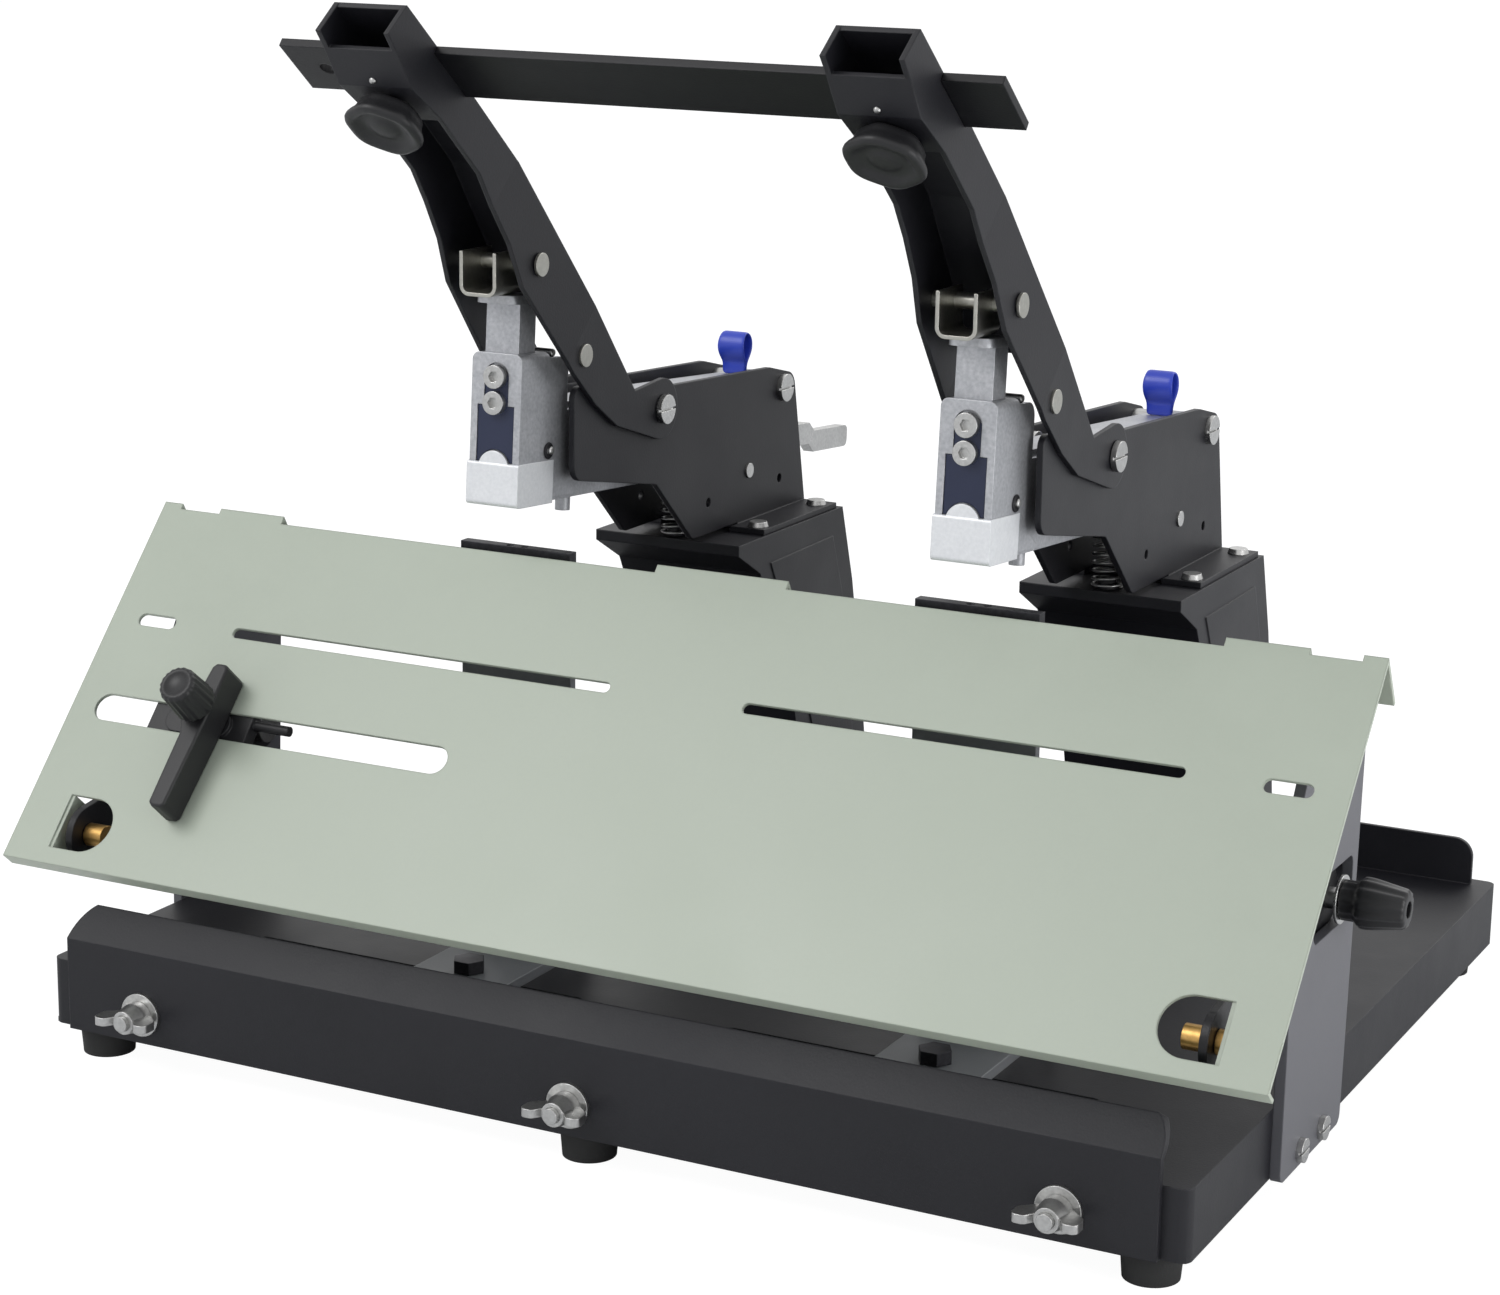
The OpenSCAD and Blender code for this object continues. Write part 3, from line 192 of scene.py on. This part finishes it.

# Edges: where the normal turns over a short distance, the coat is rounded and partly rubbed, and the mask
# lightens it there as a painted highlight along the edge
edge_group, given, made = shader_group(
    "edges", {"Radius": 0.0008, "Rub": 0.5}, {"Mask": "Float", "Rounded": "Vector"})
tree = edge_group
rounded = tree.nodes.new("ShaderNodeBevel")
rounded.samples = 6
tree.links.new(given["Radius"], rounded.inputs["Radius"])
flat = tree.nodes.new("ShaderNodeNewGeometry")
meet = tree.nodes.new("ShaderNodeVectorMath")
meet.operation = "DOT_PRODUCT"
tree.links.new(rounded.outputs[0], meet.inputs[0])
tree.links.new(flat.outputs["Normal"], meet.inputs[1])
at_edge = range_of(tree, meet.outputs["Value"], (0.99, 0.8))
patches = range_of(tree, noise(tree, 60, 5), (0.45, 0.65))
rubbed_and_highlit = maths(tree, "MULTIPLY", maths(tree, "MULTIPLY", at_edge, patches), given["Rub"])
tree.links.new(rubbed_and_highlit, made["Mask"])
tree.links.new(rounded.outputs[0], made["Rounded"])


def srgb(r, g, b):
    return tuple(((c / 255 + 0.055) / 1.055) ** 2.4 if c > 10 else c / 3294 for c in (r, g, b)) + (1,)


def place_group(tree, group, **values):
    node = tree.nodes.new("ShaderNodeGroup")
    node.node_tree = group
    for label, value in values.items():
        node.inputs[label].default_value = value
    return node.outputs


def mix_colours(tree, share, first, second):
    mix = tree.nodes.new("ShaderNodeMix")
    mix.data_type = "RGBA"
    tree.links.new(share, mix.inputs["Factor"])
    for value, label in ((first, "A"), (second, "B")):
        socket = [s for s in mix.inputs if s.name == label and s.type == "RGBA"][0]
        if isinstance(value, tuple):
            socket.default_value = srgb(*value)
        else:
            tree.links.new(value, socket)
    return [s for s in mix.outputs if s.type == "RGBA"][0]


def surface_of(tree, colour, roughness, height, normal, strength, distance):
    shader = tree.nodes["Principled BSDF"]
    tree.links.new(colour, shader.inputs["Base Color"])
    tree.links.new(roughness, shader.inputs["Roughness"])
    bump = tree.nodes.new("ShaderNodeBump")
    bump.inputs["Strength"].default_value = strength
    bump.inputs["Distance"].default_value = distance
    tree.links.new(height, bump.inputs["Height"])
    tree.links.new(normal, bump.inputs["Normal"])
    tree.links.new(bump.outputs[0], shader.inputs["Normal"])
    return shader


def painted(name, colour, lighter, bare_and_highlight, rough=(0.42, 0.55), grain=1.0, depth=0.12, rub_and_highlight=0.4, gloss=0.5):
    material = bpy.data.materials.new(name)
    material.use_nodes = True
    tree = material.node_tree
    skin = place_group(tree, grain_group, Size=grain, Contrast=0.5)
    hands = place_group(tree, handling_group, Patch=1.0)["Amount"]
    edge = place_group(tree, edge_group, Radius=0.0008, Rub=rub_and_highlight)
    coat = mix_colours(tree, hands, colour, lighter)
    coat = mix_colours(tree, range_of(tree, skin["Speckle"], (0, 1), (0, 0.35)), coat, lighter)
    # At the edges the colour turns lighter: partly rubbed coat, partly a painted highlight along the edges
    coat = mix_colours(tree, edge["Mask"], coat, bare_and_highlight)
    sheen = range_of(tree, hands, (0, 1), rough)
    shader = surface_of(tree, coat, sheen, skin["Height"], edge["Rounded"], depth, 0.0004)
    shader.inputs["Specular IOR Level"].default_value = gloss
    return material


def finish(material, *nodes):
    for node in nodes:
        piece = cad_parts[node]
        piece.data.materials.clear()
        piece.data.materials.append(material)


charcoal_coat = painted("charcoal_coat", (20, 20, 25), (29, 29, 34), (74, 74, 78), gloss=0.36)
finish(charcoal_coat, "base_tray")

# Front fence. A folded strip of the same steel with round upper corners, held by three studs
# with washers, each with a cast wing nut that is turned by hand.


def metal(name, colour, darker, rough=(0.22, 0.4), depth=0.05, bright=1.0):
    material = bpy.data.materials.new(name)
    material.use_nodes = True
    tree = material.node_tree
    marks = noise(tree, 700, 4)
    hands = place_group(tree, handling_group, Patch=0.3)["Amount"]
    edge = place_group(tree, edge_group, Radius=0.0005, Rub=0.6)
    face = mix_colours(tree, range_of(tree, marks, (0, 1), (0, 0.8)), colour, darker)
    face = mix_colours(tree, range_of(tree, hands, (0, 1), (0, 0.3)), face, darker)
    # At the edges the marks give way to the plain lighter colour: partly rubbed metal, partly a painted
    # highlight
    face = mix_colours(tree, edge["Mask"], face, colour)
    sheen = range_of(tree, hands, (0, 1), rough)
    shader = surface_of(tree, face, sheen, marks, edge["Rounded"], depth, 0.0003)
    shader.inputs["Metallic"].default_value = bright
    return material


finish(charcoal_coat, "front_fence")
bright_zinc = metal("bright_zinc", (214, 214, 212), (150, 150, 150))
finish(bright_zinc, "fence_studs", "wing_nut_left", "wing_nut_middle", "wing_nut_right")

# Feet. Black rubber bumpers pushed through the returns of the tray, three at the front
# and the others under the back.
black_rubber = painted(
    "black_rubber", (26, 26, 26), (38, 38, 38), (52, 52, 52), rough=(0.7, 0.85), grain=0.7, rub_and_highlight=0.2)
finish(black_rubber, "front_feet", "rear_feet")

# Side brackets. Two upright plates in a lighter grey coat, screwed to the skirt of the tray,
# with a window for the clamp bolt and a zinc pin at the top on which the table turns.
bracket_coat = painted("bracket_coat", (88, 88, 93), (98, 98, 103), (128, 128, 132), grain=0.8)
finish(bracket_coat, "left_bracket", "right_bracket")
finish(bright_zinc, "bracket_screws", "table_hinge_pins")

# Table. One sheet folded at the ridge and at the lower lip, slotted and punched, in pale grey-green
# smooth enamel that dulls where booklets slide. Brass pins join its ears to the struts.
# The lighter third colour shows at the folds and edges: partly worn enamel, partly a painted highlight.
pale_enamel = painted(
    "pale_enamel", (170, 178, 163), (177, 185, 170), (200, 204, 194),
    rough=(0.32, 0.45), grain=1.6, depth=0.04, rub_and_highlight=0.5)
finish(pale_enamel, "table_plate")
turned_brass = metal("turned_brass", (214, 176, 110), (150, 112, 60), rough=(0.3, 0.45))
finish(turned_brass, "table_ear_pins")

# Struts and clamp bolts. A flat black strut at each end sets the slope of the table,
# and its bolt is clamped in the window of the side bracket.
satin_black = painted(
    "satin_black", (9, 9, 13), (16, 16, 21), (60, 60, 64), rough=(0.35, 0.5), grain=0.8, gloss=0.34)
finish(satin_black, "left_strut", "right_strut")
finish(bright_zinc, "clamp_bolts")

# Table knobs. Black plastic clamp knobs outside the brackets, bored for their bolt
# and tapering outwards between shallow flutes.


def mm(*lengths):
    return tuple(length / 1000 for length in lengths)


def skin(rings, around=True, capped=False):
    mesh = bmesh.new()
    rows = [[mesh.verts.new(mm(*point)) for point in ring] for ring in rings]
    for a, b in zip(rows, rows[1:]):
        count = max(len(a), len(b))
        for i in range(count if around else count - 1):
            j = (i + 1) % count
            face = (a[i % len(a)], b[i % len(b)], b[j % len(b)], a[j % len(a)])
            mesh.faces.new(tuple(dict.fromkeys(face)))
    if capped:
        mesh.faces.new(rows[0])
        mesh.faces.new(rows[-1][::-1])
    bmesh.ops.remove_doubles(mesh, verts=mesh.verts, dist=0.000001)
    bmesh.ops.recalc_face_normals(mesh, faces=mesh.faces)
    return mesh


def turned(profile, steps=24, lobes=0, depth=0.0):
    full_depth_radius = 12
    rings = []
    for radius, along in profile:
        ring = []
        for i in range(steps if radius else 1):
            angle = 2 * math.pi * i / steps
            fade = min(1, radius / full_depth_radius) ** 3
            r = radius - depth * fade * (0.5 + 0.5 * math.cos(lobes * angle))
            ring.append((r * math.cos(angle), r * math.sin(angle), along))
        rings.append(ring)
    return skin(rings)


def new_piece(name, mesh, place, material, body, smooth=35):
    built = bpy.data.meshes.new(name)
    mesh.to_mesh(built)
    mesh.free()
    built.transform(place)
    built.materials.append(material)
    piece = bpy.data.objects.new(name, built)
    bpy.context.collection.objects.link(piece)
    built.polygons.foreach_set("use_smooth", [True] * len(built.polygons))
    built.set_sharp_from_angle(angle=math.radians(smooth))
    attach(piece, body)
    return piece


moulded_black = painted(
    "moulded_black", (24, 24, 26), (36, 36, 38), (60, 60, 62),
    rough=(0.38, 0.5), grain=0.6, depth=0.08, rub_and_highlight=0.25, gloss=0.4)
finish(moulded_black, "left_table_knob", "right_table_knob")
grip_profile = [
    (4.1, 0), (7.4, 0), (7.4, 4.8), (8.2, 6), (9.3, 7), (9.5, 8.6), (9.2, 12), (7.4, 22.8),
    (6.8, 23.7), (5.6, 24), (3.2, 24), (3.2, 14.4), (4.1, 14.4), (4.1, 0)]
for side, way in (("left", -1), ("right", 1)):
    low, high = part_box(side + "_table_knob")
    foot = (low[0] if way > 0 else high[0], (low[1] + high[1]) / 2, (low[2] + high[2]) / 2)
    outwards = Matrix.Rotation(math.radians(90 * way), 4, "Y")
    grip = new_piece(
        side + "_table_knob_moulding", turned(grip_profile, 96, 12, 1.9),
        Matrix.Translation(foot) @ outwards, moulded_black,
        side + "_table_knob", smooth=45)
    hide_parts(side + "_table_knob")

# Side guide. A black moulded bar that squares up the booklets, wider beside its fluted knob,
# which clamps it and the block behind through the oblong slot of the table.
finish(moulded_black, "guide_bar", "guide_block", "guide_knob")
ridge = Vector((0, -0.082866, 0.198))
on_table = Matrix.Translation(ridge) @ Matrix.Rotation(math.radians(48.3), 4, "X")
bar_outline = [
    (-193.6, -136.2), (-191.8, -137.6), (-187.6, -137.6), (-186.2, -136.2), (-184.6, -100),
    (-184.4, -76.5), (-185.8, -74.6), (-190.2, -74.6), (-191.6, -76.5), (-192.4, -84),
    (-196.2, -90), (-197.2, -95), (-196, -100), (-193.4, -106)]
bar_low, bar_high = 0.2, 14
bar_mesh = skin([[(x, y, z) for x, y in bar_outline] for z in (bar_low, bar_high)], capped=True)
guide_body = new_piece(
    "guide_bar_moulding", bar_mesh, on_table, moulded_black, "side_guide")
round_off = guide_body.modifiers.new("round_off", "BEVEL")
round_off.width = 0.0012
round_off.segments = 3
round_off.limit_method = "ANGLE"
round_off.angle_limit = math.radians(40)
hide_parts("guide_bar")

knob_profile = [
    (0, -21), (2.45, -21), (2.45, 0), (5.5, 0), (5.5, 2.4), (8.2, 3.2), (8.6, 4.4), (8.4, 7),
    (7.7, 17.4), (7.2, 18.8), (6.2, 19.4), (5, 19.2), (4.4, 18.6), (0, 18.5)]
guide_knob = new_piece(
    "guide_knob_moulding", turned(knob_profile, 108, 18, 1.6),
    on_table @ Matrix.Translation(mm(-189, -94.4, 14.2)), moulded_black,
    "guide_knob", smooth=50)
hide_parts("guide_knob")

# Feet of the staple heads. Each head slides on a blackened strap under the tray and has
# a grey anvil post in front, with the clincher that folds the staple on its top.
heads = {
    side: Matrix.Translation(ridge + Vector((across, 0, 0)))
    for side, across in (("left", -0.09285), ("right", 0.10355))}
post_paint = painted("post_paint", (118, 120, 124), (132, 134, 137), (170, 170, 170))
black_oxide = metal("black_oxide", (74, 74, 78), (36, 36, 38), rough=(0.4, 0.6))
for side in heads:
    finish(black_oxide, side + "_carriage", side + "_clincher")
    finish(post_paint, side + "_anvil_post")

# Stands and frames. A tall folded stand carries two side plates on screwed foot flanges,
# in the same charcoal coat as the tray, joined by slotted pivot screws.
for side in heads:
    finish(charcoal_coat, side + "_stand", side + "_frame")
    finish(bright_zinc, side + "_fasteners")

# Return springs. Round wire coils with closed ends, between the stand and the magazine,
# which presses them shorter when the arm comes down.


def coil(radius, wire, height, turns, steps=24, sides=10):
    clearance = 0.25
    closed_rise = 0.9 * wire
    open_rise = height - wire - 2 * closed_rise - 2 * clearance
    rings = []
    for i in range(turns * steps + 1):
        angle = 2 * math.pi * i / steps
        done = i / steps
        ends = min(1, done) + min(1, max(0, done - turns + 1))
        share = min(1, max(0, (done - 1) / (turns - 2)))
        rise = wire / 2 + clearance + ends * closed_rise + share * open_rise
        ring = []
        for k in range(sides):
            round_wire = 2 * math.pi * k / sides
            r = radius + wire / 2 * math.cos(round_wire)
            ring.append((r * math.cos(angle), r * math.sin(angle), rise + wire / 2 * math.sin(round_wire)))
        rings.append(ring)
    return skin(rings, capped=True)


for side, at_head in heads.items():
    finish(bright_zinc, side + "_spring")
    seat = at_head @ Matrix.Translation(mm(0, 132.8, -19.5))
    spring = new_piece(
        side + "_coil_spring", coil(5.9, 1.2, 27, 9), seat, bright_zinc,
        side + "_head", smooth=60)
    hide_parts(side + "_spring")
    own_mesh(spring)

# Arms. Folded channels, open to the front, with plated rivets and a stirrup that pushes the driver.
# A lobed bell-shaped knob with a shallow dish clamps the cross bar, and a stop pin stands above it.
grey_steel = metal("grey_steel", (196, 195, 188), (150, 149, 142), rough=(0.3, 0.45))
bell_profile = [
    (0, 0.2), (3, 0.2), (3, 20.3), (9.5, 20.3), (11.6, 20.7), (12.2, 21.6), (12.3, 23), (12.9, 24.8),
    (14, 26.4), (14.6, 27.6), (14.7, 28.6), (14.2, 29.6), (13, 30), (11.4, 29.7), (10.2, 28.9),
    (9.2, 28.3), (7.4, 28), (5.8, 28.1), (5, 28.6), (3.4, 29), (0, 29.1)]
stop_profile = [(0, -1.8), (1.1, -1.8), (1.3, 0.2), (0.9, 0.7), (0, 0.9)]
knob_turn = Matrix.Rotation(math.radians(180 - 38.47), 4, "X")
stop_turn = Matrix.Rotation(math.pi / 2 + math.atan2(9.2, 13.4), 4, "X")
for side, at_head in heads.items():
    finish(charcoal_coat, side + "_arm")
    finish(grey_steel, side + "_arm_rods")
    finish(moulded_black, side + "_bar_knob")
    knob = new_piece(
        side + "_bar_knob_moulding", turned(bell_profile, 72, 6, 0.7),
        at_head @ Matrix.Translation(mm(0, -67.701, 188.987)) @ knob_turn, moulded_black,
        side + "_bar_knob", smooth=60)
    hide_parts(side + "_bar_knob")
    new_piece(
        side + "_bar_stop_pin", turned(stop_profile, 20),
        at_head @ Matrix.Translation(mm(0, -92.1, 184.2)) @ stop_turn, bright_zinc,
        side + "_arm")

# Noses. A cast zinc block with a bright shoe below, a navy cover plate held by two socket screws,
# the square driver above, and small pins across and beside the block.
shoe_zinc = metal("shoe_zinc", (240, 241, 243), (206, 208, 211), rough=(0.4, 0.55), depth=0.1, bright=0.45)
cast_zinc = metal("cast_zinc", (208, 209, 212), (128, 130, 136), rough=(0.38, 0.55), depth=0.22, bright=0.75)
blue_steel = painted("blue_steel", (17, 26, 54), (26, 36, 66), (92, 98, 112), rough=(0.35, 0.5), grain=0.5)
nose_pivot = Vector(mm(0, 196.9, 36.4))
lift = Matrix.Rotation(math.radians(-4.1), 4, "X")
lifted = Matrix.Translation(nose_pivot) @ lift @ Matrix.Translation(-nose_pivot)
crosswise = Matrix.Rotation(math.pi / 2, 4, "Y")
nose_pins = (
    ("cross_pin", [(0, -10.6), (1.2, -10.6), (1.6, -10.2), (1.6, 10.2), (1.2, 10.6), (0, 10.6)],
     24, (0, 12, 61.6), bright_zinc, "bare_steel"),
    ("side_pin", [(0, 8), (1.6, 8), (1.6, 11.9), (1.2, 12.4), (0, 12.6)],
     24, (0, 10.5, 23.8), bright_zinc, "bare_steel"),
    ("pin_collar",
     [(1.6, 10.9), (3.1, 10.9), (3.3, 11.1), (3.3, 11.4), (3.1, 11.6), (1.6, 11.6), (1.6, 10.9)],
     32, (0, 9.5, 23.8), satin_black, "black_plastic"))
for side, at_head in heads.items():
    finish(cast_zinc, side + "_nose_block", side + "_driver")
    finish(shoe_zinc, side + "_nose_shoe")
    finish(blue_steel, side + "_nose_plate")
    finish(bright_zinc, side + "_nose_screws")
    for pin, profile, steps, place, material, slot_name in nose_pins:
        new_piece(
            side + "_nose_" + pin, turned(profile, steps),
            at_head @ lifted @ Matrix.Translation(mm(*place)) @ crosswise, material,
            side + "_magazine")

# Magazines. Cast channels for the staples with a zinc pusher rail drawn out at the back,
# and a loop tab folded from blue plastic strip on top.
blue_plastic = painted(
    "blue_plastic", (38, 58, 178), (54, 78, 200), (92, 112, 214),
    rough=(0.28, 0.4), grain=0.5, depth=0.03, rub_and_highlight=0.2)
loop = [
    (0.6, 0), (0.4, 3), (0.5, 5.4), (-1.2, 7.2), (-3, 9.6), (-3.8, 12.4), (-3.2, 15.4), (-1.2, 17.8),
    (1.4, 18.4), (3.6, 17), (4.6, 14.4), (4.4, 11.2), (3.2, 8.4), (1.8, 6), (1.7, 3), (1.8, 0)]
for side, at_head in heads.items():
    finish(cast_zinc, side + "_magazine")
    finish(bright_zinc, side + "_pusher")
    finish(blue_plastic, side + "_pull_tab")
    rows = []
    for y, z in loop:
        half_width = 5.6 + math.sin(math.pi * min(1, max(0, (z - 4) / 16)))
        rows.append([(share * half_width, y, z) for share in (-1, -0.5, 0, 0.5, 1)])
    tab = new_piece(
        side + "_tab_loop", skin(rows, around=False),
        at_head @ lifted @ Matrix.Translation(mm(0, 183, 41.5)), blue_plastic,
        side + "_magazine", smooth=80)
    thick = tab.modifiers.new("thick", "SOLIDIFY")
    thick.thickness = 0.0011
    thick.offset = 0
    soft = tab.modifiers.new("soft", "SUBSURF")
    soft.levels = soft.render_levels = 2
    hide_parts(side + "_pull_tab")

# Cross bar. A flat black bar laid through both arms, so that one pull brings both heads down,
# with a small hole near its left end.
finish(satin_black, "cross_bar")
